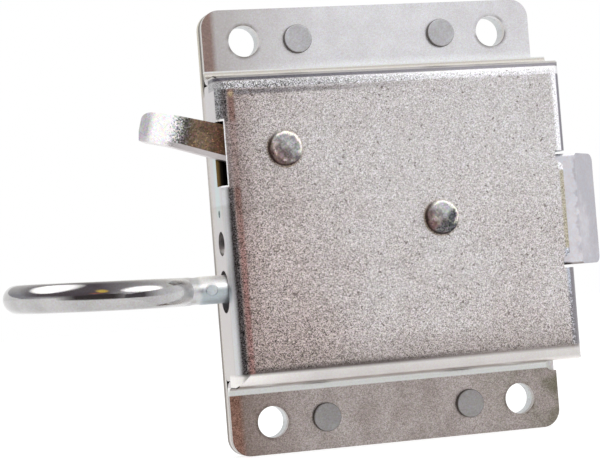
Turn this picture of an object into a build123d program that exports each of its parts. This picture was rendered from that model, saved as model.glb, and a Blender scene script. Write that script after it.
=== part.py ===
"""Lever door lock: a sprung slam bolt in a flat riveted case, drawn back by a pull ring or by a lever.

The mounting face is the XZ plane (y = 0) and the lock lies in front of it, towards -Y.
+X points along the bolt and +Z is up. All sizes are in millimetres.
"""
import os
from math import cos, radians, sin

from build123d import *

# Back plate
plate_width = 79.8
plate_height = 101.6
plate_thickness = 3.2
plate_corner_radius = 4.2

# Pressed cover: a hat section whose two ends are folded down to close the case
sheet = 1.5
case_width = 83.3
case_depth = 14.3
flange_width = 15.75
bend_radius = 3.2
root_radius = 1.8
flap_corner_radius = 0.8
seam_width = 0.3
seam_reach = 2.25
seam_slant = 45.0
seam_share_of_bend = 0.45
flange_relief_depth = 2.6
flange_relief_length = 2.6
flange_relief_radius = 1.9

# Screw holes and rivets
screw_edge_x = 9.75
screw_edge_z = 7.3
screw_hole_diameter = 7.2
flange_rivet_pitch = 34.9
flange_rivet_shank = 4.8
flange_rivet_head = 6.6
flange_rivet_head_height = 1.1
flange_rivet_head_round = 0.35
case_rivet_shank = 5.0
case_rivet_head = 8.0
case_rivet_head_height = 1.6
case_rivet_head_round = 1.2
rivet_clearance = 0.1
countersink_depth = 1.4
countersink_flare = 1.4

# Lever
lever_pivot_x = -25.05
lever_pivot_z = 17.8
lever_thickness = 3.2
lever_play = 0.6
lever_hub_radius = 7.0
lever_swing = 23.0
arm_low_offset = 6.07
arm_low_angle = 17.7
arm_high_offset = 2.9
arm_high_angle = 14.0
arm_bevel = 1.0
arm_blank_half_height = 25.0
finger_start = 22.0
finger_radius = 13.0
finger_turn = 51.0
finger_upper_corner = 1.8
finger_lower_corner = 1.0
lever_spacer_diameter = 10.0
spacer_play = 0.1

# Pin of the lever, which runs in the slanting slot of the bolt
cam_pin_diameter = 4.0
cam_pin_reach_x = 20.0
cam_pin_drop = 11.0
cam_pin_boss_radius = 3.9
cam_pin_end_gap = 1.0
cam_pin_clearance = 0.15
cam_slot_wall = 3.2
cam_slot_steps = 8

# Bolt
bolt_travel = 10.0
bolt_throw = 10.2
bolt_height = 26.0
bolt_play = 0.4
bolt_bevel = 8.0
bolt_corner_radius = 1.75
bolt_edge_radius = 1.0
bolt_head_length = 26.0
bolt_tail_thickness = 5.2
bolt_body_left_x = 0.0
bolt_bar_left_x = -14.0
bolt_bar_top_z = 3.0
bolt_bar_bottom_z = -7.0
bolt_leg_width = 6.0
bolt_leg_below_rod = 5.9

# Opening for the bolt in the right-hand end of the cover
bolt_opening_clearance = 0.7
bolt_notch_height = 2.3
bolt_notch_setback = 3.35
bolt_tab_setback = 1.7
bolt_tab_corner = 1.2

# Guide of the bolt
guide_x = 10.8
guide_z = 0.0
guide_bush_diameter = 9.0
guide_slot_clearance = 0.15

# Pull ring and its rod
rod_diameter = 6.35
rod_z = -12.6
rod_bore_clearance = 0.1
ring_outer_diameter = 42.0
ring_standoff = 7.6
ring_tilt = 1.6
ring_roll = 1.2
neck_radius = 6.0
neck_depth = 0.15
neck_offset = 0.6
weld_spot_diameter = 2.8
weld_spot_height = 0.35
weld_spot_round = 0.3
weld_spot_offset = 3.9
rod_end_diameter = 8.6
rod_end_height = 1.8
rod_end_round = 0.9
rod_washer_diameter = 9.2
rod_washer_thickness = 1.0
rod_end_play = 0.1

# Return spring of the bolt, round the rod
spring_wire = 1.1
spring_mean_diameter = 7.9
spring_turns = 7
spring_wire_sides = 8
spring_play = 0.15
spring_seat_width = 9.2
spring_seat_height = 13.0
spring_seat_thickness = 2.2
spring_seat_edge_gap = 0.1

# Openings in the left-hand end of the cover
rod_hole_width = 7.3
rod_hole_height = 9.6
rod_hole_drop = 0.7
lever_slot_low_z = 10.3
lever_slot_high_z = 24.7
lever_slot_rear_gap = 0.35
lever_slot_bend_turn = 38.0
side_hole_diameter = 5.5
side_hole_z = -2.5
side_hole_forward = 0.4
side_dimple_diameter = 1.6
side_dimple_depth = 0.3
side_dimple_rise = 6.7
end_cut_depth = 3.0

# Places that follow from the sizes above
left_x = -plate_width / 2
case_height = plate_height - 2 * flange_width
screw_x = plate_width / 2 - screw_edge_x
screw_z = plate_height / 2 - screw_edge_z
right_x = left_x + case_width
seat_y = -plate_thickness
flange_front_y = seat_y - sheet
root_y = flange_front_y - root_radius
face_y = -case_depth
cavity_front_y = face_y + sheet
middle_y = (cavity_front_y + seat_y) / 2
half_case = case_height / 2
half_cavity = half_case - sheet
lever_front_y = cavity_front_y + lever_play
lever_back_y = lever_front_y + lever_thickness
bolt_front_y = cavity_front_y + bolt_play
bolt_back_y = seat_y - bolt_play
bolt_tail_front_y = bolt_back_y - bolt_tail_thickness
bolt_tip_x = right_x + bolt_throw
rod_wall_x = left_x + sheet
leg_right_x = bolt_bar_left_x + bolt_leg_width
arm_angle = (arm_low_angle + arm_high_angle) / 2
cut_margin = 5.0
same_place = 0.01


def rounded_outline(points, radii):
    """Closed outline through the points, each corner with its own radius; 0 leaves it sharp."""
    outline = make_face(Polyline(*points, close=True))
    for radius in sorted(set(radii) - {0}):
        corners = [
            outline.vertices().sort_by_distance(Vector(*point, 0))[0]
            for point, own_radius in zip(points, radii)
            if own_radius == radius
        ]
        outline = fillet(corners, radius)
    return outline


def extrude_along_y(front_view, front_y, back_y):
    """Solid with the given (x, z) outline between two depths."""
    return extrude(Plane.XZ.offset(-back_y) * front_view, back_y - front_y, dir=(0, -1, 0))


def extrude_along_x(side_view, start_x, end_x):
    """Solid with the given (y, z) outline between two places along the bolt."""
    return extrude(Plane.YZ.offset(start_x) * side_view, end_x - start_x, dir=(1, 0, 0))


def extrude_along_z(top_view, low_z, high_z):
    """Solid with the given (x, y) outline between two heights."""
    return extrude(Plane.XY.offset(low_z) * top_view, high_z - low_z, dir=(0, 0, 1))


def pillar(x, z, diameter, front_y, back_y):
    """Round bar along Y."""
    return extrude_along_y(Pos(x, z) * Circle(diameter / 2), front_y, back_y)


def bar(y, z, diameter, start_x, end_x):
    """Round bar along X."""
    return extrude_along_x(Pos(y, z) * Circle(diameter / 2), start_x, end_x)


def plate_outline():
    return RectangleRounded(plate_width, plate_height, plate_corner_radius)


def screw_places():
    return [
        (side_x * screw_x, side_z * screw_z)
        for side_x in (-1, 1)
        for side_z in (-1, 1)
    ]


def flange_rivet_places():
    return [
        (side_x * flange_rivet_pitch / 2, side_z * screw_z)
        for side_x in (-1, 1)
        for side_z in (-1, 1)
    ]


def rivet(x, z, shank, head, head_height, head_round, head_seat_y):
    """Rivet along Y: proud head in front, tail closed flush into the countersink of the plate."""
    profile = rounded_outline(
        [
            (0, 0),
            (shank / 2 + countersink_flare, 0),
            (shank / 2, -countersink_depth),
            (shank / 2, head_seat_y),
            (head / 2, head_seat_y),
            (head / 2, head_seat_y - head_height),
            (0, head_seat_y - head_height),
        ],
        [0, 0, 0, 0, 0, head_round, 0],
    )
    return Pos(x, 0, z) * revolve(profile, Axis.Y)


def rivet_hole(x, z, shank):
    """Cutter for a rivet hole through the plate and the cover, countersunk at the mounting face."""
    bore = shank / 2 + rivet_clearance
    profile = make_face(
        Polyline(
            (0, cut_margin),
            (shank / 2 + countersink_flare, cut_margin),
            (shank / 2 + countersink_flare, 0),
            (bore, -countersink_depth),
            (bore, face_y - cut_margin),
            (0, face_y - cut_margin),
            close=True,
        )
    )
    return Pos(x, 0, z) * revolve(profile, Axis.Y)


def flange_cutters():
    """Screw holes and rivet holes that pass through both the plate and the flanges."""
    cutters = [
        pillar(x, z, screw_hole_diameter, face_y - cut_margin, cut_margin) for x, z in screw_places()
    ]
    cutters += [rivet_hole(x, z, flange_rivet_shank) for x, z in flange_rivet_places()]
    return cutters


def case_rivet_cutters():
    return [
        rivet_hole(lever_pivot_x, lever_pivot_z, case_rivet_shank),
        rivet_hole(guide_x, guide_z, case_rivet_shank),
    ]


def back_plate():
    plate = extrude_along_y(plate_outline(), seat_y, 0)
    for cutter in flange_cutters() + case_rivet_cutters():
        plate -= cutter
    return plate


def case_block(inset, back_y):
    """Block with the outside shape of the case, drawn in by an inset, with rounded front edges."""
    width = case_width - 2 * inset
    height = case_height - 2 * inset
    front = face_y + inset
    outline = Pos((left_x + right_x) / 2, 0) * Rectangle(width, height)
    block = extrude_along_y(outline, front, back_y)
    return fillet(block.faces().sort_by(Axis.Y)[0].edges(), bend_radius - inset)


def flange_section():
    """Section of the upper flange with its root bend and the start of the case's wall, in (y, z)."""
    half_flange = plate_height / 2
    wall_y = root_y - sheet
    return rounded_outline(
        [
            (wall_y, half_case),
            (flange_front_y, half_case),
            (flange_front_y, half_flange),
            (seat_y, half_flange),
            (seat_y, half_cavity),
            (wall_y, half_cavity),
        ],
        [0, root_radius, 0, 0, root_radius + sheet, 0],
    )


def flap_edges():
    """Rear strips of the two end flaps, which stand on the plate between the root bends."""
    half = half_cavity - seam_width / 2
    middle = (root_y + seat_y) / 2
    outline = Pos(middle, 0) * Rectangle(seat_y - root_y, 2 * half)
    corners = outline.vertices().group_by(Axis.X)[-1]
    outline = fillet(corners, flap_corner_radius)
    return [
        extrude_along_x(outline, left_x, left_x + sheet),
        extrude_along_x(outline, right_x - sheet, right_x),
    ]


def flange_trim():
    """Cutter that ends the flanges at the plate's edge; only the root bend runs on to the case's end."""
    outside = Rectangle(2 * case_width, 2 * plate_height) - plate_outline()
    bend_strip = Rectangle(2 * case_width, 2 * (half_case + root_radius))
    return extrude_along_y(outside - bend_strip, flange_front_y - cut_margin, cut_margin)


def flange_relief():
    """Rounded relief at the right-hand end of the lower root bend."""
    left = plate_width / 2 - flange_relief_length
    top = -half_case
    bottom = top - flange_relief_depth
    outline = rounded_outline(
        [
            (left, top),
            (right_x + cut_margin, top),
            (right_x + cut_margin, bottom),
            (left, bottom),
        ],
        [0, 0, 0, flange_relief_radius],
    )
    return extrude_along_y(outline, root_y, cut_margin)


def corner_seams():
    """Thin mitre gaps where the end flaps meet the upper and lower walls."""
    front = face_y + seam_share_of_bend * bend_radius
    slit = Rectangle(2 * seam_reach, seam_width)
    seams = []
    for x, turn in ((left_x, 1), (right_x, -1)):
        for side in (-1, 1):
            place = Pos(x, side * half_case) * Rot(0, 0, -side * turn * seam_slant)
            seams.append(extrude_along_y(place * slit, front, root_y))
    return seams


def lever_slot():
    """Cutter for the lever's slot, punched in the left flap from halfway round its bend."""
    bend_x = left_x + bend_radius
    bend_y = face_y + bend_radius
    turn = radians(lever_slot_bend_turn)
    reach = 2 * bend_radius
    outer_x = left_x - cut_margin
    rear_y = lever_back_y + lever_slot_rear_gap
    outline = make_face(
        Polyline(
            (bend_x, bend_y),
            (bend_x - reach * sin(turn), bend_y - reach * cos(turn)),
            (outer_x, bend_y - reach * cos(turn)),
            (outer_x, rear_y),
            (bend_x, rear_y),
            close=True,
        )
    )
    return extrude_along_z(outline, lever_slot_low_z, lever_slot_high_z)


def bolt_opening():
    """Cutter for the bolt's opening, with a relief notch above and below the tab of the face."""
    half_opening = bolt_height / 2 + bolt_opening_clearance
    start = right_x - bolt_notch_setback
    outline = Pos((start + right_x + cut_margin) / 2, 0) * Rectangle(
        right_x + cut_margin - start, 2 * half_opening
    )
    return extrude_along_y(outline, face_y - cut_margin, cut_margin)


def bolt_tab():
    """Flat tab of the face that reaches over the bolt between the two notches."""
    start = right_x - bend_radius - sheet
    end = right_x - bolt_tab_setback
    half_tab = bolt_height / 2 + bolt_opening_clearance - bolt_notch_height
    outline = make_face(
        Polyline(
            (start, half_tab),
            (end - bolt_tab_corner, half_tab),
            (end, half_tab - bolt_tab_corner),
            (end, -half_tab + bolt_tab_corner),
            (end - bolt_tab_corner, -half_tab),
            (start, -half_tab),
            close=True,
        )
    )
    return extrude_along_y(outline, face_y, cavity_front_y)


def left_end_cutters():
    """Rod hole, spare pin hole and shallow centre mark in the left flap."""
    outside = left_x - cut_margin
    inside = left_x + end_cut_depth
    dimple_z = side_hole_z + side_dimple_rise
    row_y = middle_y - side_hole_forward
    rod_hole = Pos(middle_y, rod_z - rod_hole_drop) * SlotOverall(rod_hole_height, rod_hole_width, 90)
    return [
        extrude_along_x(rod_hole, outside, inside),
        bar(row_y, side_hole_z, side_hole_diameter, outside, inside),
        bar(row_y, dimple_z, side_dimple_diameter, outside, left_x + side_dimple_depth),
    ]


def cover():
    shell = case_block(0, root_y) - case_block(sheet, root_y + cut_margin)
    upper_flange = extrude_along_x(flange_section(), left_x, right_x)
    for piece in [upper_flange, upper_flange.mirror(Plane.XY)] + flap_edges():
        shell += piece
    shell -= flange_trim()
    shell -= flange_relief()
    for seam in corner_seams():
        shell -= seam
    shell -= lever_slot()
    shell -= bolt_opening()
    shell += bolt_tab()
    for cutter in left_end_cutters() + flange_cutters() + case_rivet_cutters():
        shell -= cutter
    return shell


def flange_rivets():
    return [
        rivet(
            x,
            z,
            flange_rivet_shank,
            flange_rivet_head,
            flange_rivet_head_height,
            flange_rivet_head_round,
            flange_front_y,
        )
        for x, z in flange_rivet_places()
    ]


def case_rivet(x, z):
    """Rivet through the whole case, with a low peened dome in front."""
    return rivet(
        x, z, case_rivet_shank, case_rivet_head, case_rivet_head_height, case_rivet_head_round, face_y
    )


def spacer(x, z, diameter, front_y, back_y):
    """Bush round a case rivet."""
    tube = pillar(x, z, diameter, front_y, back_y)
    bore = pillar(x, z, case_rivet_shank + 2 * rivet_clearance, front_y - cut_margin, back_y + cut_margin)
    return tube - bore


def guide_bush():
    return spacer(guide_x, guide_z, guide_bush_diameter, cavity_front_y, seat_y)


def lever_spacer():
    return spacer(lever_pivot_x, lever_pivot_z, lever_spacer_diameter, lever_back_y + spacer_play, seat_y)


def cam_pin_place(turned=0.0):
    """Place of the lever's pin, in (x, z), with the lever turned from rest by some degrees."""
    angle = radians(turned)
    x = lever_pivot_x + cam_pin_reach_x * cos(angle) + cam_pin_drop * sin(angle)
    z = lever_pivot_z + cam_pin_reach_x * sin(angle) - cam_pin_drop * cos(angle)
    return x, z


def arm_profile():
    """Edge-on view of the arm, in (distance along it, y): straight, then curled back to the finger."""
    centre_y = lever_front_y + finger_radius
    inner_radius = finger_radius - lever_thickness
    mid_turn = radians(finger_turn / 2)
    end_turn = radians(finger_turn)

    def on_curl(radius, angle):
        return finger_start + radius * sin(angle), centre_y - radius * cos(angle)

    outer_end = on_curl(finger_radius, end_turn)
    inner_end = on_curl(inner_radius, end_turn)
    outer_start = (finger_start, lever_front_y)
    inner_start = (finger_start, lever_back_y)
    return make_face(
        [
            Line((0, lever_front_y), outer_start),
            ThreePointArc(outer_start, on_curl(finger_radius, mid_turn), outer_end),
            Line(outer_end, inner_end),
            ThreePointArc(inner_end, on_curl(inner_radius, mid_turn), inner_start),
            Line(inner_start, (0, lever_back_y)),
            Line((0, lever_back_y), (0, lever_front_y)),
        ]
    )


def arm_edge_point(offset, angle, distance):
    """Point of an edge of the arm, in (x, z), at a distance from the pivot along the arm."""
    slope = radians(arm_angle)
    run = (distance - offset * sin(slope)) / cos(radians(angle) - slope)
    x = lever_pivot_x - run * cos(radians(angle))
    z = lever_pivot_z + offset + run * sin(radians(angle))
    return x, z


def arm_outline():
    """Front view of the arm, in (x, z): it tapers outwards and rises to the left."""
    reach = finger_start + finger_radius * sin(radians(finger_turn))
    return rounded_outline(
        [
            (lever_pivot_x, lever_pivot_z - arm_low_offset),
            (lever_pivot_x, lever_pivot_z + arm_high_offset),
            arm_edge_point(arm_high_offset, arm_high_angle, reach),
            arm_edge_point(-arm_low_offset, arm_low_angle, reach),
        ],
        [0, 0, finger_upper_corner, finger_lower_corner],
    )


def lower_front_edges(arm):
    """Edges of the arm where its outer face meets its lower side."""
    low_start = Vector(lever_pivot_x, 0, lever_pivot_z - arm_low_offset)
    slope = radians(arm_low_angle)
    down = Vector(sin(slope), 0, cos(slope))

    def on_lower_side(edge):
        points = (edge @ 0, edge @ 0.5, edge @ 1)
        return all(abs((point - low_start).dot(down)) < same_place for point in points)

    shortest = lever_thickness + arm_bevel
    long_edges = [edge for edge in arm.edges() if on_lower_side(edge) and edge.length > shortest]
    straight = [edge for edge in long_edges if edge.geom_type == GeomType.LINE]
    curled = [edge for edge in long_edges if edge.geom_type != GeomType.LINE]
    return [min(straight, key=lambda edge: edge.center().Y), max(curled, key=lambda edge: edge.length)]


def lever_arm():
    """Outer arm and finger, with the lower front edge bevelled."""
    slope = radians(arm_angle)
    along = Vector(-cos(slope), 0, sin(slope))
    start = Vector(lever_pivot_x, 0, lever_pivot_z)
    edge_on = Plane(origin=start, x_dir=along, z_dir=along.cross(Vector(0, 1, 0)))
    curled = extrude(edge_on * arm_profile(), arm_blank_half_height, both=True)
    arm = curled & extrude_along_y(arm_outline(), face_y - cut_margin, cut_margin)
    return chamfer(lower_front_edges(arm), arm_bevel)


def lever():
    hub = Pos(lever_pivot_x, lever_pivot_z) * Circle(lever_hub_radius)
    boss = Pos(*cam_pin_place()) * Circle(cam_pin_boss_radius)
    inner_arm = extrude_along_y(make_hull(hub.edges() + boss.edges()), lever_front_y, lever_back_y)
    body = inner_arm + lever_arm()
    front = lever_front_y - cut_margin
    back = lever_back_y + cut_margin
    body -= pillar(lever_pivot_x, lever_pivot_z, case_rivet_shank + 2 * rivet_clearance, front, back)
    body -= pillar(*cam_pin_place(), cam_pin_diameter, front, back)
    return body


def cam_pin():
    return pillar(*cam_pin_place(), cam_pin_diameter, lever_front_y, seat_y - cam_pin_end_gap)


def cam_path():
    """Places of the lever's pin on the bolt, in (x, z), as the bolt draws back and the lever turns."""
    path = []
    for step in range(cam_slot_steps + 1):
        share = step / cam_slot_steps
        x, z = cam_pin_place(share * lever_swing)
        path.append((x + share * bolt_travel, z))
    return path


def band_along(path, half_width):
    """Round-ended band that follows the points of a path."""
    band = Pos(*path[0]) * Circle(half_width)
    for (start_x, start_z), (end_x, end_z) in zip(path, path[1:]):
        middle = ((start_x + end_x) / 2, (start_z + end_z) / 2)
        step = Vector(end_x - start_x, end_z - start_z)
        link = SlotCenterToCenter(step.length, 2 * half_width, step.get_signed_angle(Vector(1, 0)))
        band += Pos(*middle) * link
    return band


def bolt_head():
    """Bevelled end of the bolt that enters the strike."""
    land = bolt_back_y - bolt_front_y - bolt_bevel
    plan = make_face(
        Polyline(
            (bolt_tip_x - bolt_head_length, bolt_back_y),
            (bolt_tip_x, bolt_back_y),
            (bolt_tip_x, bolt_back_y - land),
            (bolt_tip_x - bolt_bevel, bolt_front_y),
            (bolt_tip_x - bolt_head_length, bolt_front_y),
            close=True,
        )
    )
    half = bolt_height / 2
    head = extrude_along_z(plan, -half, half)
    front_view = rounded_outline(
        [
            (bolt_tip_x - bolt_head_length, half),
            (bolt_tip_x, half),
            (bolt_tip_x, -half),
            (bolt_tip_x - bolt_head_length, -half),
        ],
        [0, bolt_corner_radius, bolt_corner_radius, 0],
    )
    head &= extrude_along_y(front_view, face_y, 0)
    front_edges = [
        edge
        for edge in head.edges().filter_by(Axis.X)
        if abs(edge.center().Y - bolt_front_y) < same_place
    ]
    return fillet(front_edges, bolt_edge_radius)


def bolt_tail():
    """Flat tail of the bolt: the ear with the slanting cam slot and the bar over the rod."""
    half = bolt_height / 2
    head_start = bolt_tip_x - bolt_head_length
    path = cam_path()
    slot_radius = cam_pin_diameter / 2 + cam_pin_clearance
    body = Pos((bolt_body_left_x + head_start + sheet) / 2, 0) * Rectangle(
        head_start + sheet - bolt_body_left_x, 2 * half
    )
    bar_view = Pos(
        (bolt_bar_left_x + bolt_body_left_x + sheet) / 2, (bolt_bar_top_z + bolt_bar_bottom_z) / 2
    ) * Rectangle(bolt_body_left_x + sheet - bolt_bar_left_x, bolt_bar_top_z - bolt_bar_bottom_z)
    view = body + bar_view + band_along(path, slot_radius + cam_slot_wall)
    tail = extrude_along_y(view, bolt_tail_front_y, bolt_back_y)
    slot = band_along(path, slot_radius)
    return tail - extrude_along_y(slot, bolt_tail_front_y - cut_margin, bolt_back_y + cut_margin)


def bolt_leg():
    """Full-depth leg of the bolt that the rod passes through and the spring pushes on."""
    low_z = rod_z - bolt_leg_below_rod
    outline = Pos((bolt_bar_left_x + leg_right_x) / 2, (low_z + bolt_bar_bottom_z + sheet) / 2) * Rectangle(
        bolt_leg_width, bolt_bar_bottom_z + sheet - low_z
    )
    leg = extrude_along_y(outline, bolt_front_y, bolt_back_y)
    bore = rod_diameter + 2 * rod_bore_clearance
    return leg - bar(middle_y, rod_z, bore, bolt_bar_left_x - cut_margin, leg_right_x + cut_margin)


def bolt():
    guide_slot = Pos(guide_x + bolt_travel / 2, guide_z) * SlotCenterToCenter(
        bolt_travel, guide_bush_diameter + 2 * guide_slot_clearance
    )
    body = bolt_head() + bolt_tail() + bolt_leg()
    return body - extrude_along_y(guide_slot, face_y - cut_margin, cut_margin)


def pull_ring():
    """Ring and rod in one piece: the rod is bent round to the ring and its end is upset over the washer."""
    tube = rod_diameter / 2
    neck_x = left_x - ring_standoff
    ring_radius = ring_outer_diameter / 2 - tube
    eye = Pos(-ring_outer_diameter / 2, 0, 0) * Torus(ring_radius, tube)
    eye = Pos(neck_x, middle_y, rod_z) * Rot(ring_roll, ring_tilt, 0) * eye
    end_x = leg_right_x + rod_end_play + rod_washer_thickness
    rod = bar(middle_y, rod_z, rod_diameter, neck_x - tube, end_x)
    groove = Pos(neck_x + neck_offset, middle_y, rod_z) * Rot(0, 90, 0) * Torus(
        tube + neck_radius - neck_depth, neck_radius
    )
    spot_front_y = middle_y - tube - weld_spot_height
    spot = pillar(neck_x + weld_spot_offset, rod_z, weld_spot_diameter, spot_front_y, middle_y)
    spot_rim = spot.edges().filter_by(GeomType.CIRCLE).sort_by(Axis.Y)[0]
    spot = fillet(spot_rim, weld_spot_round)
    upset = bar(middle_y, rod_z, rod_end_diameter, end_x, end_x + rod_end_height)
    outer_rim = upset.edges().filter_by(GeomType.CIRCLE).sort_by(Axis.X)[-1]
    return eye + (rod - groove) + spot + fillet(outer_rim, rod_end_round)


def rod_washer():
    start = leg_right_x + rod_end_play
    end = start + rod_washer_thickness
    disc = bar(middle_y, rod_z, rod_washer_diameter, start, end)
    return disc - bar(middle_y, rod_z, rod_diameter, start - cut_margin, end + cut_margin)


def spring_seat():
    """Block behind the left flap that closes the rod hole and carries the spring; it clears the bend."""
    outline = Pos(middle_y, rod_z) * Rectangle(spring_seat_width, spring_seat_height)
    plate = extrude_along_x(outline, rod_wall_x, rod_wall_x + spring_seat_thickness)
    front_edge = plate.edges().filter_by(Axis.Z).group_by(Axis.X)[0].sort_by(Axis.Y)[0]
    plate = fillet(front_edge, bend_radius - sheet + spring_seat_edge_gap)
    bore = rod_diameter + 2 * rod_bore_clearance
    return plate - bar(middle_y, rod_z, bore, rod_wall_x - cut_margin, rod_wall_x + cut_margin)


def bolt_spring():
    """Compression spring round the rod, from its seat to the leg of the bolt."""
    start = rod_wall_x + spring_seat_thickness + spring_play + spring_wire / 2
    end = bolt_bar_left_x - spring_play - spring_wire / 2
    length = end - start
    radius = spring_mean_diameter / 2
    coil = Helix(length / spring_turns, length, radius)
    wire_section = RegularPolygon(spring_wire / 2, spring_wire_sides)
    spring = sweep(Plane(origin=coil @ 0, z_dir=coil % 0) * wire_section, path=coil, is_frenet=True)
    return Pos(start, middle_y, rod_z) * Rot(0, 90, 0) * spring


def write(node, solids):
    """Write one node, given as one solid or a list of alike solids, to its own file."""
    shape = Compound(children=list(solids)) if isinstance(solids, list) else solids
    export_step(shape, f"parts/{node}.step")


os.makedirs("parts", exist_ok=True)
write("back_plate", back_plate())
write("cover", cover())
write("flange_rivets", flange_rivets())
write("lever_pivot_rivet", case_rivet(lever_pivot_x, lever_pivot_z))
write("lever_spacer", lever_spacer())
write("guide_rivet", case_rivet(guide_x, guide_z))
write("guide_bush", guide_bush())
write("lever", lever())
write("cam_pin", cam_pin())
write("bolt", bolt())
write("pull_ring", pull_ring())
write("rod_washer", rod_washer())
write("spring_seat", spring_seat())
write("bolt_spring", bolt_spring())
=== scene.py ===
# %% [markdown]
# Many bands of light and dark in these finishes are painted in: painted reflections, painted highlights
# and painted shade.
# # A lever door lock, dressed for its picture
#
# The lock is a flat case, pressed from one sheet and riveted to a back plate. A bevelled bolt
# stands out of its right-hand end. A pull ring on a rod and a small curled lever come out of the
# left-hand end. Everything is zinc-plated steel, but no two pieces carry the plating alike, and
# that is what this lesson is about: one metal, many finishes.
#
# The solids come in finished and in their places. They could be remodelled here, but their shapes
# are right already, so each one keeps its mesh and gets a surface of its own.

from math import cos, radians, sin

import bpy
from mathutils import Matrix, Vector


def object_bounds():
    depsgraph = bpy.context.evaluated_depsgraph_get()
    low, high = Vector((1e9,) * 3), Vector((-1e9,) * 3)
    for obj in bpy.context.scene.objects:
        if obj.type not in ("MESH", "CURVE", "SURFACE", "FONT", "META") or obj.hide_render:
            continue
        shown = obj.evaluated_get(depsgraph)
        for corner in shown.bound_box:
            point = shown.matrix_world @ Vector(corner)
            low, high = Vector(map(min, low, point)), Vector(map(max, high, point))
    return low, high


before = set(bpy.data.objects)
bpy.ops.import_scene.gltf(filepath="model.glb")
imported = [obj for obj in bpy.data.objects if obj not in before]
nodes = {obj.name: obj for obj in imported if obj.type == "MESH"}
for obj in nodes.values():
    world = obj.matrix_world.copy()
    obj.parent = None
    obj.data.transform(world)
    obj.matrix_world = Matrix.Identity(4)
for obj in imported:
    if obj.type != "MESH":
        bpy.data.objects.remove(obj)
mm = 0.001
cad_box = [list(corner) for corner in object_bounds()]
print("loaded", len(nodes), "pieces; box from", cad_box[0], "to", cad_box[1])

# %% [markdown]
# ## The camera
#
# The photograph was taken from the left of the lock and a little below its middle, with the camera
# rolled a few degrees. A camera can be turned with a Track To constraint, but that keeps it level,
# so its three axes are worked out here and written into its matrix. The small shift stands for the
# cropping of the photograph.

# %% Place the camera
camera_place = Vector((-149.8, -455.4, -16.0)) * mm
camera_yaw = radians(16.39)
camera_pitch = radians(1.81)
camera_roll = radians(-4.49)
camera_lens = 122.9
camera_sensor = 36
camera_shift = (-0.0219, 0.0055)

forward = Vector((
    sin(camera_yaw) * cos(camera_pitch),
    cos(camera_yaw) * cos(camera_pitch),
    sin(camera_pitch),
))
level_right = Vector((cos(camera_yaw), -sin(camera_yaw), 0))
level_up = level_right.cross(forward)
right = level_right * cos(camera_roll) + level_up * sin(camera_roll)
up = level_up * cos(camera_roll) - level_right * sin(camera_roll)

camera_data = bpy.data.cameras.new("photo_camera")
camera_data.lens = camera_lens
camera_data.sensor_width = camera_sensor
camera_data.shift_x, camera_data.shift_y = camera_shift
camera_data.clip_start = 0.01
camera = bpy.data.objects.new("photo_camera", camera_data)
bpy.context.scene.collection.objects.link(camera)
turn = Matrix((right, up, -forward)).transposed()
camera.matrix_world = Matrix.Translation(camera_place) @ turn.to_4x4()
bpy.context.scene.camera = camera
bpy.context.scene.view_settings.view_transform = "Standard"
print("camera looks along", [round(value, 3) for value in forward])

# %% [markdown]
# ## Small helpers for node trees
#
# Every finish below is a node tree. Adding nodes by hand in code soon drowns the idea in brackets,
# so small helpers do the work. One adds a node with its settings and inputs, others add the Math,
# Mix, Map Range and noise nodes that come up again and again, and two start and place node groups.

# %% Node helpers
def put(tree, socket, value):
    """Links a socket to another one, or sets it to a plain value."""
    if isinstance(value, bpy.types.NodeSocket):
        tree.links.new(value, socket)
    else:
        socket.default_value = value


def add_node(tree, kind, inputs=None, **settings):
    """Adds a node; an input may be a plain value or a socket to link from."""
    node = tree.nodes.new(kind)
    for name, value in settings.items():
        setattr(node, name, value)
    for key, value in (inputs or {}).items():
        put(tree, node.inputs[key], value)
    return node


def calculate(tree, operation, first, second=0.0, third=0.0, clamp=False):
    """Adds a Math node and returns its result."""
    inputs = {0: first, 1: second, 2: third}
    return add_node(tree, "ShaderNodeMath", inputs, operation=operation, use_clamp=clamp).outputs[0]


def minus(tree, first, second):
    return calculate(tree, "SUBTRACT", first, second)


def absolute(tree, value):
    return calculate(tree, "ABSOLUTE", value)


def weigh(tree, first, first_share, second, second_share):
    """Adds two values, each by its share."""
    return calculate(
        tree, "MULTIPLY_ADD", first, first_share, calculate(tree, "MULTIPLY", second, second_share))


def distance_from(tree, beside, above):
    """Length of the line to a point that lies beside and above an axis along Y."""
    return calculate(tree, "SQRT", weigh(tree, beside, beside, above, above))


def overlap(tree, *masks):
    """Multiplies masks: the result is 1 only where all of them are."""
    result = masks[0]
    for mask in masks[1:]:
        result = calculate(tree, "MULTIPLY", result, mask)
    return result


def ramp(tree, value, low, high, start=0.0, end=1.0, smooth=False):
    """Turns a value between low and high into one between start and end, and holds it outside."""
    return add_node(tree, "ShaderNodeMapRange", {
        "Value": value, "From Min": low, "From Max": high, "To Min": start, "To Max": end,
    }, interpolation_type="SMOOTHSTEP" if smooth else "LINEAR").outputs[0]


def add_noise(tree, place, seed, scale, detail):
    """Adds a noise in four dimensions; another seed gives another pattern."""
    return add_node(tree, "ShaderNodeTexNoise", {
        "Vector": place, "W": seed, "Scale": scale, "Detail": detail,
    }, noise_dimensions="4D").outputs["Fac"]


def blend_colours(tree, factor, first, second, blend_type="MIX"):
    """Adds a Mix Color node and returns its result."""
    inputs = {0: factor, 6: first, 7: second}
    return add_node(
        tree, "ShaderNodeMix", inputs, data_type="RGBA", blend_type=blend_type).outputs[2]


def times(tree, colour, tone):
    """Scales a colour by a tone."""
    inputs = {0: colour, "Scale": tone}
    return add_node(tree, "ShaderNodeVectorMath", inputs, operation="SCALE").outputs[0]


def object_place(tree):
    return tree.nodes.new("ShaderNodeTexCoord").outputs["Object"]


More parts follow.
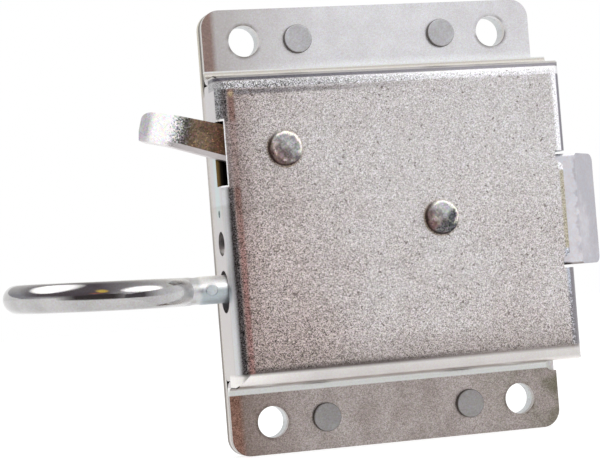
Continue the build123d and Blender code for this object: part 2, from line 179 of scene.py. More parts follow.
def start_group(name, inputs, outputs):
    """Starts a shader node group; a socket's default says whether it is a value or a colour."""
    tree = bpy.data.node_groups.new(name, "ShaderNodeTree")
    for direction, sockets in (("INPUT", inputs), ("OUTPUT", outputs)):
        for socket_name, value in sockets.items():
            kind = "NodeSocketFloat" if isinstance(value, float) else "NodeSocketColor"
            socket = tree.interface.new_socket(socket_name, in_out=direction, socket_type=kind)
            socket.default_value = value
    group_input = tree.nodes.new("NodeGroupInput")
    group_output = tree.nodes.new("NodeGroupOutput")
    return tree, group_input.outputs, group_output.inputs


def use_group(tree, group, **inputs):
    """Places a node group in a tree with its own values and returns its outputs."""
    named = {name.replace("_", " "): value for name, value in inputs.items()}
    return add_node(tree, "ShaderNodeGroup", named, node_tree=group).outputs


white = (1.0, 1.0, 1.0, 1.0)


def tint(red, green, blue):
    """A colour as it shows on screen, 0 to 255, turned into the linear light that Blender mixes."""
    def linear(level):
        share = level / 255
        return share / 12.92 if share <= 0.04045 else ((share + 0.055) / 1.055) ** 2.4

    return linear(red), linear(green), linear(blue), 1.0


print("helpers ready")

# %% [markdown]
# ## The grain of the plating
#
# Zinc that is plated over rolled sheet is not smooth. It sparkles in crystals a quarter of a
# millimetre wide, each with its own tone and a trace of its own hue, and a few dark pits lie between
# them. A Voronoi texture gives every crystal one random colour, which is just what is needed; finer
# noise on top keeps the crystals from looking cut. Everything is read from Object coordinates, so
# the grain stays sharp from any distance and has no seams.

# %% Group: plating grain
def build_plating_grain():
    tree, given, result = start_group(
        "plating_grain",
        {"Grains per metre": 3600.0, "Hue spread": 0.15, "Pits": 0.3},
        {"Level": 0.0, "Hue": white, "Pit mask": 0.0},
    )
    place = object_place(tree)
    crystal = add_node(tree, "ShaderNodeTexVoronoi", {
        "Vector": place, "Scale": given["Grains per metre"],
    }).outputs["Color"]
    channel = add_node(tree, "ShaderNodeSeparateColor", {0: crystal}).outputs[0]
    fine = add_node(tree, "ShaderNodeTexNoise", {
        "Vector": place, "Scale": given["Grains per metre"], "Detail": 1.5, "Roughness": 0.6,
    }).outputs["Fac"]
    fine_level = ramp(tree, fine, 0.3, 0.7)
    level = weigh(tree, channel, 0.6, fine_level, 0.4)
    hue = blend_colours(tree, given["Hue spread"], white, crystal)
    brighten = calculate(tree, "MULTIPLY_ADD", given["Hue spread"], 0.5, 1.0)
    pit_scale = calculate(tree, "MULTIPLY", given["Grains per metre"], 0.3)
    pit_noise = add_noise(tree, place, 3.7, pit_scale, 0.0)
    pits = ramp(tree, pit_noise, 0.735, 0.785, smooth=True)
    tree.links.new(level, result["Level"])
    tree.links.new(times(tree, hue, brighten), result["Hue"])
    tree.links.new(calculate(tree, "MULTIPLY", pits, given["Pits"]), result["Pit mask"])
    return tree


def speckled(tree, colour, grain, strength):
    """Scales a colour by the grain's tone and hue; dark grains are warmer than light ones."""
    centred = calculate(tree, "MULTIPLY_ADD", grain["Level"], 2.0, -1.0)
    tone = calculate(tree, "MULTIPLY_ADD", centred, strength, 1.0)
    warm, cool = (1.09, 0.97, 0.93, 1), (0.92, 1.02, 1.06, 1)
    warmth = blend_colours(tree, grain["Level"], warm, cool)
    colour = blend_colours(tree, 1.0, colour, warmth, "MULTIPLY")
    return times(tree, blend_colours(tree, 1.0, colour, grain["Hue"], "MULTIPLY"), tone)


plating_grain = build_plating_grain()
print("group", plating_grain.name, "gives", [item.name for item in plating_grain.interface.items_tree])

# %% [markdown]
# ## Clouds, bands and rubbed streaks
#
# Three more groups serve nearly every finish. Clouds are the slow drift of tone that a plating
# bath leaves. A band is a soft-edged mask between two values of any coordinate: with it a finish
# knows where a bend or a flange starts, in real millimetres on the piece. Streaks are noise
# stretched along one axis, for the marks that handling and rolling leave.

# %% Groups: clouds, band and streaks
def build_clouds():
    tree, given, result = start_group(
        "bath_clouds",
        {"Clouds per metre": 60.0, "Seed": 0.0},
        {"Cloud": 0.0},
    )
    place = object_place(tree)
    noise = add_noise(tree, place, given["Seed"], given["Clouds per metre"], 3.0)
    tree.links.new(ramp(tree, noise, 0.35, 0.65, smooth=True), result["Cloud"])
    return tree


def build_band():
    tree, given, result = start_group(
        "soft_band",
        {"Value": 0.0, "From": -1.0, "To": 1.0, "Softness": 0.1},
        {"Mask": 0.0},
    )
    rise_end = calculate(tree, "ADD", given["From"], given["Softness"])
    rise = ramp(tree, given["Value"], given["From"], rise_end, smooth=True)
    fall_start = minus(tree, given["To"], given["Softness"])
    fall = ramp(tree, given["Value"], fall_start, given["To"], 1.0, 0.0, smooth=True)
    tree.links.new(calculate(tree, "MULTIPLY", rise, fall), result["Mask"])
    return tree


def build_streaks():
    tree, given, result = start_group(
        "rubbed_streaks",
        {"Streaks per metre": 900.0, "Stretch": 0.06, "Seed": 0.0},
        {"Streak": 0.0},
    )
    place = object_place(tree)
    shares = {"X": 1.0, "Y": 1.0, "Z": given["Stretch"]}
    squeeze = add_node(tree, "ShaderNodeCombineXYZ", shares).outputs[0]
    stretched = add_node(
        tree, "ShaderNodeVectorMath", {0: place, 1: squeeze}, operation="MULTIPLY").outputs[0]
    noise = add_noise(tree, stretched, given["Seed"], given["Streaks per metre"], 2.0)
    tree.links.new(ramp(tree, noise, 0.35, 0.65), result["Streak"])
    return tree


bath_clouds = build_clouds()
soft_band = build_band()
rubbed_streaks = build_streaks()
print("groups", bath_clouds.name, soft_band.name, rubbed_streaks.name)

# %% [markdown]
# ## Starting a metal
#
# Each finish is a Principled BSDF with Metallic at 1: the colour of a metal is the colour of its
# reflections. One helper below starts such a material, and hands back its tree and the sockets for
# the place and the direction of the surface on the piece. Another one feeds colour, roughness and
# grain to the shader when they are ready.

# %% Helpers: start and finish a metal
def start_metal(name):
    material = bpy.data.materials.new(name)
    material.use_nodes = True
    tree = material.node_tree
    source = tree.nodes.new("ShaderNodeTexCoord").outputs
    place = add_node(tree, "ShaderNodeSeparateXYZ", {0: source["Object"]}).outputs
    facing = add_node(tree, "ShaderNodeSeparateXYZ", {0: source["Normal"]}).outputs
    return material, tree, place, facing


def finish_metal(material, colour, roughness, height, strength, distance=0.05 * mm):
    """Feeds the shader, with the height as a bump, and hands the material back."""
    tree = material.node_tree
    bump = add_node(
        tree, "ShaderNodeBump", {"Height": height, "Strength": strength, "Distance": distance})
    shader = tree.nodes["Principled BSDF"].inputs
    put(tree, shader["Metallic"], 1.0)
    put(tree, shader["Base Color"], colour)
    put(tree, shader["Roughness"], roughness)
    put(tree, shader["Normal"], bump.outputs["Normal"])
    return material


def band(tree, value, low, high, softness):
    """A mask that is 1 between two values and fades out inside them."""
    return use_group(tree, soft_band, Value=value, From=low, To=high, Softness=softness)["Mask"]


def faces_front(tree, facing):
    return ramp(tree, facing["Y"], -0.6, -0.9)


far = 1000.0
print("metal helpers ready")

# %% [markdown]
# ## The pressed cover
#
# The cover shows the most metal, and its finish changes from place to place. Its face is grainy
# and drifts from a warm, reddish grey at the lower left to a cool light grey at the upper right.
# Where the sheet is bent, its strips of light and dark are painted reflections: painted highlights,
# painted dark reflections and, below the face, a painted reflection of the floor. The walls are smooth.
# The upper flange is smooth and bluish, the lower one brown-grey with a rusty left edge. One material
# with soft bands on the piece's own coordinates keeps every border where the bends are.

# %% Sizes of the cover that its finish follows
bend_radius = 3.2 * mm
face_top = 31.85 * mm
face_left = -36.7 * mm
face_right = 40.2 * mm
face_front = -14.3 * mm
bend_back = face_front + bend_radius
wall_top = face_top + bend_radius
flange_start = 36.85 * mm
slot_low = 10.3 * mm
slot_high = 24.7 * mm
screw_x = 30.15 * mm
screw_z = 43.5 * mm
screw_radius = 3.6 * mm
flange_rivet_x = 17.45 * mm
dome_centres = ((-25.05 * mm, 17.8 * mm), (10.8 * mm, 0.0))
print("the face reaches from", face_left, "to", face_right, "and up to", face_top)

# %% Finish: cover
def paint_face(tree, place, cloud, small_cloud):
    """The grainy face: warm and dark at the lower left, cool and light at the upper right."""
    across = ramp(tree, place["X"], -38 * mm, -4 * mm, 0.0, 0.62)
    along = ramp(tree, place["Z"], -30 * mm, 15 * mm, 0.0, 0.38)
    wander = calculate(tree, "MULTIPLY_ADD", cloud, 0.2, -0.1)
    coolness = calculate(tree, "ADD", calculate(tree, "ADD", across, along), wander, clamp=True)
    colour = blend_colours(tree, coolness, tint(161, 146, 141), tint(202, 200, 200))
    high_shade = ramp(tree, place["Z"], 4 * mm, 24 * mm, 0.0, 0.12)
    colour = blend_colours(tree, high_shade, colour, tint(158, 150, 150))
    spots = overlap(tree, small_cloud, 0.12)
    colour = blend_colours(tree, spots, colour, tint(174, 162, 158))
    left_edge = overlap(
        tree, ramp(tree, place["X"], -35.7 * mm, -31.5 * mm, 0.5, 0.0),
        ramp(tree, place["Z"], -24 * mm, -8 * mm, 0.3, 1.0))
    colour = blend_colours(tree, left_edge, colour, tint(124, 106, 102))
    low_edge = ramp(tree, place["Z"], -31.6 * mm, -25.0 * mm, 0.55, 0.0)
    colour = blend_colours(tree, low_edge, colour, tint(136, 127, 122))
    low_line = overlap(
        tree, ramp(tree, place["Z"], -31.5 * mm, -30.5 * mm, 1.0, 0.0),
        ramp(tree, place["X"], -5 * mm, 25 * mm, 0.9, 0.35))
    colour = blend_colours(tree, low_line, colour, tint(92, 85, 83))
    high_line = overlap(
        tree, band(tree, place["Z"], 30.1 * mm, 31.8 * mm, 0.6 * mm),
        ramp(tree, place["X"], -28 * mm, 10 * mm, 0.9, 0.0))
    return blend_colours(tree, high_line, colour, tint(116, 112, 114)), coolness


def paint_left_bend(tree, place, colour, grain, cloud):
    """The left bend's strips of painted reflection: red beside the face, then dark, then a light
    highlight; a gold spot on top.
    """
    on_case = overlap(
        tree, band(tree, place["Y"], -far, bend_back - 0.5 * mm, 0.3 * mm),
        band(tree, place["Z"], -32.4 * mm, 33.0 * mm, 0.6 * mm))
    upper = ramp(tree, place["Z"], -6 * mm, 4 * mm)
    red_reflection_right = calculate(tree, "MULTIPLY_ADD", upper, -0.1 * mm, -35.5 * mm)
    red_reflection_left = calculate(tree, "MULTIPLY_ADD", upper, -0.2 * mm, -37.65 * mm)
    below_slot = band(tree, place["Z"], -12 * mm, 12 * mm, 4 * mm)
    light_start = calculate(tree, "MULTIPLY_ADD", below_slot, -0.05 * mm, -39.35 * mm)
    slot_range = band(tree, place["Z"], slot_low - 1 * mm, slot_high + 0.2 * mm, 0.8 * mm)
    beside_slot = calculate(tree, "MULTIPLY_ADD", slot_range, -0.75, 1.0)

    # Painted reflections across the bend: a red strip beside the face, then a dark strip further out.
    rust_and_red_reflection = overlap(
        tree, on_case, band(tree, place["X"], red_reflection_left, red_reflection_right, 0.8 * mm),
        calculate(tree, "MULTIPLY_ADD", cloud, 0.3, 0.7), ramp(tree, beside_slot, 0.2, 1.0, 0.4, 1.0))
    red_reflection_colour = blend_colours(tree, upper, tint(138, 104, 99), tint(126, 97, 90))
    colour = blend_colours(tree, rust_and_red_reflection, colour, red_reflection_colour)
    dark_colour = blend_colours(tree, grain["Level"], tint(13, 11, 11), tint(118, 112, 112))
    dark_edge = calculate(tree, "MULTIPLY_ADD", upper, -0.15 * mm, -37.3 * mm)
    dark = overlap(
        tree, on_case, beside_slot, band(tree, place["X"], -39.8 * mm, dark_edge, 0.5 * mm))
    colour = blend_colours(tree, dark, colour, dark_colour)
    # The light strip on the outer part of the bend is a painted highlight, crystalline above and smooth
    # lower down.
    crystals = blend_colours(
        tree, ramp(tree, grain["Level"], 0.2, 0.8), tint(44, 42, 44), tint(180, 180, 182))
    smooth = tint(204, 205, 207)
    rough_part = ramp(tree, place["Z"], 9 * mm, 12 * mm)
    light_colour = blend_colours(tree, rough_part, smooth, crystals)
    light_end = calculate(tree, "ADD", light_start, 0.85 * mm)
    light = overlap(tree, on_case, ramp(tree, place["X"], light_start, light_end, 1.0, 0.0))
    colour = blend_colours(tree, light, colour, light_colour)
    spot_distance = distance_from(
        tree, minus(tree, place["X"], face_left), minus(tree, place["Z"], 30.6 * mm))
    spot = ramp(tree, spot_distance, 0.9 * mm, 0.3 * mm, 0.0, 0.75)
    return blend_colours(tree, overlap(tree, spot, on_case), colour, tint(170, 154, 122))


def paint_top_bend(tree, place, colour, grain):
    """Above the face the bend carries painted reflections: light crystals, whiter to the right, then a
    dark line up to the root of the flange and a lighter crest.
    """
    on_case = band(tree, place["Y"], -far, -6.9 * mm, 0.2 * mm)
    towards_right = ramp(tree, place["X"], -25 * mm, 18 * mm)
    # The light crystals are a painted highlight, whiter towards the right.
    crystals = blend_colours(
        tree, ramp(tree, grain["Level"], 0.2, 0.8), tint(112, 111, 113), tint(188, 187, 188))
    bright_colour = blend_colours(tree, towards_right, crystals, tint(224, 224, 227))
    bright = overlap(tree, on_case, band(tree, place["Z"], 31.5 * mm, 33.8 * mm, 0.5 * mm))
    colour = blend_colours(tree, bright, colour, bright_colour)
    # The dark line is a painted dark reflection, and the crest above it a lighter painted reflection.
    dark_colour = blend_colours(tree, grain["Level"], tint(58, 56, 63), tint(104, 102, 109))
    dark_colour = blend_colours(
        tree, overlap(tree, towards_right, 0.6), dark_colour, tint(140, 138, 143))
    dark = overlap(tree, on_case, ramp(tree, place["Z"], 33.45 * mm, 33.75 * mm))
    colour = blend_colours(tree, dark, colour, dark_colour)
    crest = overlap(tree, on_case, ramp(tree, place["Z"], 34.3 * mm, 34.6 * mm))
    return blend_colours(tree, crest, colour, tint(192, 189, 185))


def paint_right_bend(tree, place, colour, grain):
    """The right bend: a nearly white painted highlight, a painted dark reflection along its outer line,
    a dark grainy foot of painted reflection and an olive stain.
    """
    on_case = overlap(
        tree, band(tree, place["Y"], -far, bend_back + 1 * mm, 0.5 * mm),
        band(tree, place["Z"], -31.8 * mm, 33.4 * mm, 0.6 * mm))
    # The inner strip is a painted highlight, white above the bolt and bluish below it; its grainy foot
    # is a painted dark reflection.
    foot = ramp(tree, place["Z"], -21 * mm, -17 * mm, 1.0, 0.0)
    dark_grain = blend_colours(
        tree, ramp(tree, grain["Level"], 0.1, 0.8), tint(62, 58, 60), tint(172, 170, 174))
    below_bolt = ramp(tree, place["Z"], -10 * mm, -7 * mm, 1.0, 0.0)
    inner = blend_colours(tree, below_bolt, tint(228, 228, 232), tint(178, 182, 192))
    inner = blend_colours(tree, foot, inner, dark_grain)
    outer = blend_colours(tree, below_bolt, tint(120, 117, 126), tint(128, 125, 130))
    from_right = minus(tree, place["X"], face_right)
    beside_bolt = band(tree, place["Z"], -9.4 * mm, 9.4 * mm, 0.6 * mm)
    clear = minus(tree, 1.0, beside_bolt)
    strip = overlap(tree, on_case, clear, ramp(tree, from_right, 0.1 * mm, 0.7 * mm))
    colour = blend_colours(tree, strip, colour, inner)
    stain = overlap(
        tree, on_case, beside_bolt, ramp(tree, from_right, 0.3 * mm, 0.75 * mm, 0.0, 0.6))
    colour = blend_colours(tree, stain, colour, tint(160, 152, 118))
    # A painted dark reflection along the outer line of the bend.
    edge_start = calculate(tree, "MULTIPLY_ADD", below_bolt, -0.45 * mm, 1.5 * mm)
    edge_end = calculate(tree, "ADD", edge_start, 0.4 * mm)
    edge = overlap(tree, on_case, clear, ramp(tree, from_right, edge_start, edge_end))
    return blend_colours(tree, edge, colour, outer)


def paint_low_bend(tree, place, facing, colour, small_cloud):
    """Below the face the bend carries a painted reflection of the floor, lightest where it faces down.
    """
    on_case = band(tree, place["Y"], -far, -6.7 * mm, 0.1 * mm)
    # Painted reflection of the floor: lightest where the bend faces down, with darker spots, and
    # lighter towards the left.
    floor_reflection = blend_colours(
        tree, ramp(tree, facing["Z"], -0.98, -0.7), tint(248, 243, 239), tint(205, 202, 200))
    floor_reflection = blend_colours(
        tree, overlap(tree, small_cloud, 0.25), floor_reflection, tint(190, 185, 184))
    left_lift = ramp(tree, place["X"], -37 * mm, -22 * mm, 0.8, 0.0)
    floor_reflection = blend_colours(tree, left_lift, floor_reflection, tint(240, 237, 234))
    low = overlap(tree, on_case, ramp(tree, place["Z"], -31.9 * mm, -32.6 * mm))
    return blend_colours(tree, low, colour, floor_reflection)


def paint_flanges(tree, place, facing, colour, cloud, small_cloud, grain):
    """The flanges and their root bends: cool and light above, brown below."""
    height = absolute(tree, place["Z"])
    root = overlap(
        tree, ramp(tree, height, wall_top - 0.2 * mm, wall_top),
        ramp(tree, place["Y"], -6.9 * mm, -6.7 * mm))
    is_upper = calculate(tree, "GREATER_THAN", place["Z"], 0.0)
    mottle = weigh(tree, cloud, 0.45, small_cloud, 0.55)
    left_end = ramp(tree, place["X"], -36 * mm, -12 * mm, 0.9, 0.0)
    low_left_end = ramp(tree, place["X"], -38.5 * mm, -20 * mm, 0.9, 0.0)
    right_end = ramp(tree, place["X"], 18 * mm, 38 * mm, 0.0, 0.95)

    upper = blend_colours(tree, mottle, tint(205, 204, 207), tint(216, 216, 219))
    upper = blend_colours(tree, left_end, upper, tint(174, 170, 169))
    shine = overlap(
        tree, ramp(tree, height, 38.6 * mm, flange_start), ramp(tree, place["X"], -34 * mm, -5 * mm))
    upper = blend_colours(tree, shine, upper, tint(232, 234, 236))
    cream = blend_colours(
        tree, ramp(tree, height, 35.5 * mm, 36.5 * mm), tint(172, 169, 164), tint(194, 190, 182))
    upper_root = blend_colours(
        tree, band(tree, height, 36.45 * mm, 37.0 * mm, 0.2 * mm), cream, tint(222, 224, 223))

    lower = blend_colours(tree, mottle, tint(144, 135, 131), tint(166, 158, 155))
    lower = blend_colours(tree, low_left_end, lower, tint(116, 101, 94))
    lower = blend_colours(tree, overlap(tree, right_end, small_cloud), lower, tint(108, 104, 90))
    # Painted light: the lower root is lightest at the groove, against the shade that falls there.
    lower_root = blend_colours(
        tree, ramp(tree, height, 35.2 * mm, 36.1 * mm), tint(234, 233, 231), tint(194, 196, 194))

    rust_edge = ramp(tree, place["X"], -37.9 * mm, -36.6 * mm, 1.0, 0.0)
    rust_level = weigh(tree, grain["Level"], 0.6, mottle, 0.4)
    rust_and_red_reflection = blend_colours(tree, rust_level, tint(82, 54, 46), tint(146, 112, 98))
    upper = blend_colours(tree, overlap(tree, rust_edge, 0.75), upper, rust_and_red_reflection)
    lower = blend_colours(tree, overlap(tree, rust_edge, 0.9), lower, rust_and_red_reflection)

    # Painted shade in a thin ring round each screw hole.
    beside = minus(tree, absolute(tree, place["X"]), screw_x)
    above = minus(tree, height, screw_z)
    away = distance_from(tree, beside, above)
    rim_shade = overlap(
        tree, ramp(tree, away, screw_radius, screw_radius + 0.8 * mm, 0.75, 0.0),
        faces_front(tree, facing), ramp(tree, small_cloud, 0.1, 0.7))
    rim_shade_colour = tint(82, 72, 62)
    upper = blend_colours(tree, rim_shade, upper, rim_shade_colour)
    lower = blend_colours(tree, rim_shade, lower, rim_shade_colour)

    flange = blend_colours(tree, is_upper, lower, upper)
    roots = blend_colours(tree, is_upper, lower_root, upper_root)
    side = ramp(tree, absolute(tree, facing["X"]), 0.5, 0.8)
    side_colour = blend_colours(tree, is_upper, tint(164, 158, 154), tint(196, 193, 190))
    flange = blend_colours(tree, side, flange, side_colour)
    on_flange = ramp(tree, height, flange_start - 0.1 * mm, flange_start + 0.1 * mm)
    colour = blend_colours(tree, root, colour, roots)
    return blend_colours(tree, on_flange, colour, flange), on_flange


def paint_slot(tree, place, facing, colour):
    """The cut faces of the lever's slot: golden at the outer end, fading into painted shade further in,
    with painted highlights at the bend.
    """
    in_range = band(tree, place["Z"], slot_low - 0.3 * mm, slot_high + 0.3 * mm, 0.05 * mm)
    back = overlap(
        tree, in_range, faces_front(tree, facing),
        band(tree, place["Y"], -9.2 * mm, -8.2 * mm, 0.05 * mm))
    # Golden at the outer end of the back face, fading into painted shade further in.
    gold = blend_colours(
        tree, ramp(tree, place["X"], -39.7 * mm, -38.9 * mm), tint(122, 100, 62), tint(34, 29, 24))
    colour = blend_colours(tree, back, colour, gold)
    # A painted highlight line along the cut edge at the bend.
    line_range = band(tree, place["Z"], slot_low - 0.5 * mm, slot_high + 0.6 * mm, 0.3 * mm)
    line = overlap(
        tree, line_range, ramp(tree, place["X"], -38.35 * mm, -38.55 * mm),
        ramp(tree, place["Y"], -11.4 * mm, -11.9 * mm))
    colour = blend_colours(tree, line, colour, tint(244, 244, 244))
    # The cut faces through the bend are painted bright as highlight.
    beside = minus(tree, place["X"], face_left)
    before = minus(tree, place["Y"], bend_back)
    radius = distance_from(tree, beside, before)
    cut = overlap(
        tree, in_range, ramp(tree, radius, bend_radius - 0.1 * mm, bend_radius - 0.2 * mm),
        calculate(tree, "LESS_THAN", beside, 0.0), calculate(tree, "LESS_THAN", before, 0.0))
    return blend_colours(tree, cut, colour, tint(246, 246, 246))


def look_round_rivet(tree, place, centre):
    """How far a point lies beside and above a rivet, and how far down to its lower left."""
    beside = minus(tree, place["X"], centre[0])
    above = minus(tree, place["Z"], centre[1])
    slope = minus(tree, calculate(tree, "MULTIPLY", beside, -1.0), above)
    return beside, above, slope


def paint_dome_rings(tree, place, colour, small_cloud):
    """A golden brown ring on the face round each domed rivet, strongest at the lower left."""
    for centre in dome_centres:
        beside, above, slope = look_round_rivet(tree, place, centre)
        ring = band(tree, distance_from(tree, beside, above), 3.8 * mm, 4.5 * mm, 0.25 * mm)
        lower_left = ramp(tree, slope, -3 * mm, 3 * mm, 0.1, 0.75)
        patchy = ramp(tree, small_cloud, 0.0, 1.0, 0.5, 1.0)
        golden_ring = overlap(tree, ring, lower_left, patchy)
        colour = blend_colours(tree, golden_ring, colour, tint(140, 116, 82))
    return colour


def build_cover_finish():
    material, tree, place, facing = start_metal("plated_cover")
    grain = use_group(tree, plating_grain, Grains_per_metre=4800.0, Hue_spread=0.12, Pits=0.7)
    cloud = use_group(tree, bath_clouds, Clouds_per_metre=45.0, Seed=1.3)["Cloud"]
    small_cloud = use_group(tree, bath_clouds, Clouds_per_metre=190.0, Seed=4.1)["Cloud"]

    on_front = band(tree, place["Y"], -far, -12.6 * mm, 1.2 * mm)
    face_colour, coolness = paint_face(tree, place, cloud, small_cloud)
    face_colour = paint_dome_rings(tree, place, face_colour, small_cloud)
    wall_colour = blend_colours(
        tree, ramp(tree, place["Z"], -20 * mm, 6 * mm), tint(196, 191, 189), tint(198, 195, 196))
    bluish = overlap(
        tree, band(tree, place["Z"], 0 * mm, 24 * mm, 6 * mm),
        band(tree, place["Y"], -11 * mm, -5 * mm, 2 * mm))
    wall_colour = blend_colours(tree, bluish, wall_colour, tint(192, 206, 207))
    colour = blend_colours(tree, on_front, wall_colour, face_colour)
    colour = paint_right_bend(tree, place, colour, grain)
    colour = paint_left_bend(tree, place, colour, grain, cloud)
    colour = paint_top_bend(tree, place, colour, grain)
    colour = paint_low_bend(tree, place, facing, colour, small_cloud)
    colour, on_flange = paint_flanges(tree, place, facing, colour, cloud, small_cloud, grain)
    colour = paint_slot(tree, place, facing, colour)

    # Grain shows most where the face is darkest, less on the flanges and hardly on bends and walls.
    on_face = overlap(
        tree, on_front, ramp(tree, place["Z"], -32.0 * mm, -31.4 * mm),
        ramp(tree, facing["Y"], -0.75, -0.95))
    face_swing = calculate(tree, "MULTIPLY_ADD", coolness, -0.72, 1.24)
    flange_swing = ramp(tree, place["Z"], -36 * mm, 36 * mm, 0.45, 0.1)
    swing = calculate(
        tree, "MAXIMUM", overlap(tree, on_face, face_swing), overlap(tree, on_flange, flange_swing))
    colour = speckled(tree, colour, grain, calculate(tree, "MAXIMUM", swing, 0.03))
    pits = overlap(tree, grain["Pit mask"], on_face)
    colour = blend_colours(tree, pits, colour, tint(92, 80, 74))
    roughness = ramp(tree, on_face, 0.0, 1.0, 0.3, 0.48)
    return finish_metal(material, colour, roughness, grain["Level"], 0.25)


def dress(material, *names):
    """Gives CAD nodes their finish by filling the material slots of their objects."""
    for name in names:
        slots = nodes[name].data.materials
        slots.clear()
        slots.append(material)
    print("finish", material.name, "on", ", ".join(names))


dress(build_cover_finish(), "cover")

# %% [markdown]
# ## The back plate
#
# The plate hides behind the flanges: from the front only its edges and the walls of its screw holes
# show, and from behind its whole face. The edge was sheared: it is light at the front of the cut, with
# painted shade in brown along its rear. Where the face lies inside the case, it is painted nearly black
# as shade.

# %% Finish: back plate
def build_plate_finish():
    material, tree, place, facing = start_metal("plated_plate")
    grain = use_group(tree, plating_grain, Grains_per_metre=3000.0, Hue_spread=0.12, Pits=0.6)
    cloud = use_group(tree, bath_clouds, Clouds_per_metre=70.0, Seed=8.2)["Cloud"]
    streak = use_group(
        tree, rubbed_streaks, Streaks_per_metre=500.0, Stretch=0.05, Seed=5.0)["Streak"]
    mottle = weigh(tree, streak, 0.5, cloud, 0.5)
    broad = blend_colours(tree, mottle, tint(184, 182, 180), tint(212, 212, 212))
    cut = tint(198, 193, 188)
    # Painted shade in brown along the rear of the edge, heavier lower down.
    rear_edge_shade = blend_colours(tree, streak, tint(70, 57, 47), tint(104, 90, 76))
    rear_edge_shade_share = overlap(
        tree, ramp(tree, place["Y"], -1.75 * mm, -1.45 * mm),
        ramp(tree, place["Z"], 12 * mm, -20 * mm, 0.25, 1.0))
    edge = blend_colours(tree, rear_edge_shade_share, cut, rear_edge_shade)
    high_edge = blend_colours(
        tree, ramp(tree, place["Y"], -1.7 * mm, -1.4 * mm), tint(92, 83, 70), tint(196, 189, 173))
    edge = blend_colours(tree, ramp(tree, place["Z"], 31 * mm, 33 * mm), edge, high_edge)
    rim = ramp(tree, absolute(tree, facing["Y"]), 0.5, 0.2)
    height = absolute(tree, place["Z"])
    in_hole = overlap(
        tree, rim, calculate(tree, "LESS_THAN", absolute(tree, place["X"]), 36 * mm),
        calculate(tree, "LESS_THAN", height, 50 * mm))
    colour = blend_colours(tree, rim, broad, edge)
    colour = blend_colours(tree, in_hole, colour, tint(192, 195, 196))
    # The face inside the case is painted nearly black as shade.
    inside_case = overlap(
        tree, calculate(tree, "LESS_THAN", height, 34 * mm), faces_front(tree, facing))
    colour = blend_colours(tree, inside_case, colour, tint(34, 30, 28))
    colour = speckled(tree, colour, grain, 0.1)
    colour = blend_colours(tree, grain["Pit mask"], colour, tint(110, 104, 98))
    roughness = ramp(tree, mottle, 0.0, 1.0, 0.42, 0.28)
    return finish_metal(material, colour, roughness, grain["Level"], 0.2)


dress(build_plate_finish(), "back_plate")

# %% [markdown]
# ## Rivets
#
# The two rivets of the case have domed heads with a hammered skin. Their heads carry painted
# reflections: a reddish one towards the lower left, a dark one on the lower right, a lighter one on the
# upper right, a painted glint ring and a painted highlight on the upper right shoulder; painted shade
# sits where the dome meets the sheet. The four rivets of the flanges are plain grey discs with painted
# shade round their sides. Both lie at known places, so the distance from a rivet's own axis drives
# these rings and sectors of painted light and shade.

# %% Finish: rivets
def build_dome_finish(name, centre, seed, dark_reflection_depth):
    """The seed picks the dents; the last argument sets how dark the painted dark reflection on the
    lower right part of the head is.
    """
    material, tree, place, _ = start_metal(name)
    grain = use_group(tree, plating_grain, Grains_per_metre=2600.0, Hue_spread=0.25)
    dents = use_group(tree, bath_clouds, Clouds_per_metre=620.0, Seed=seed)["Cloud"]
    beside, above, slope = look_round_rivet(tree, place, centre)
    ragged = calculate(tree, "MULTIPLY_ADD", dents, 0.5 * mm, distance_from(tree, beside, above))
    away = minus(tree, ragged, 0.25 * mm)
    crown = blend_colours(tree, dents, tint(118, 116, 118), tint(184, 184, 186))
    # A reddish painted reflection towards the lower left.
    warm = blend_colours(tree, dents, tint(104, 78, 72), tint(152, 128, 124))
    colour = blend_colours(tree, ramp(tree, slope, -1.0 * mm, 4.0 * mm, 0.0, 0.9), crown, warm)
    # A painted dark reflection on the lower right and a lighter painted reflection on the upper right.
    dark_reflection_sector = overlap(
        tree, ramp(tree, minus(tree, beside, above), -0.2 * mm, 1.3 * mm),
        ramp(tree, away, 0.3 * mm, 1.1 * mm, 0.0, dark_reflection_depth))
    light_sector = overlap(
        tree, ramp(tree, slope, -0.2 * mm, -1.6 * mm),
        ramp(tree, dents, 0.0, 1.0, 0.7 * dark_reflection_depth, 0.2 * dark_reflection_depth))
    colour = blend_colours(tree, light_sector, colour, tint(214, 214, 216))
    dark_reflection_colour = blend_colours(tree, grain["Level"], tint(18, 18, 22), tint(122, 122, 126))
    colour = blend_colours(tree, dark_reflection_sector, colour, dark_reflection_colour)
    # A painted glint ring and a painted highlight on the upper right shoulder.
    glint = overlap(
        tree, band(tree, away, 2.85 * mm, 3.25 * mm, 0.2 * mm), ramp(tree, dents, 0.5, 0.8, 0.0, 0.6))
    colour = blend_colours(tree, glint, colour, tint(206, 196, 190))
    bright_shoulder = overlap(
        tree, ramp(tree, away, 2.9 * mm, 3.4 * mm), ramp(tree, slope, -0.5 * mm, -3.0 * mm))
    colour = blend_colours(tree, bright_shoulder, colour, tint(242, 238, 228))
    # Painted shade where the dome meets the sheet, strongest at the lower left.
    rim_shade = overlap(
        tree, ramp(tree, away, 3.4 * mm, 3.9 * mm),
        ramp(tree, slope, -2.5 * mm, 1.5 * mm, 0.15, 0.9))
    colour = blend_colours(tree, rim_shade, colour, tint(58, 40, 36))
    colour = speckled(tree, colour, grain, 0.3)
    roughness = ramp(tree, dents, 0.0, 1.0, 0.42, 0.26)
    height = weigh(tree, dents, 0.7, grain["Level"], 0.3)
    return finish_metal(material, colour, roughness, height, 0.7, 0.15 * mm)


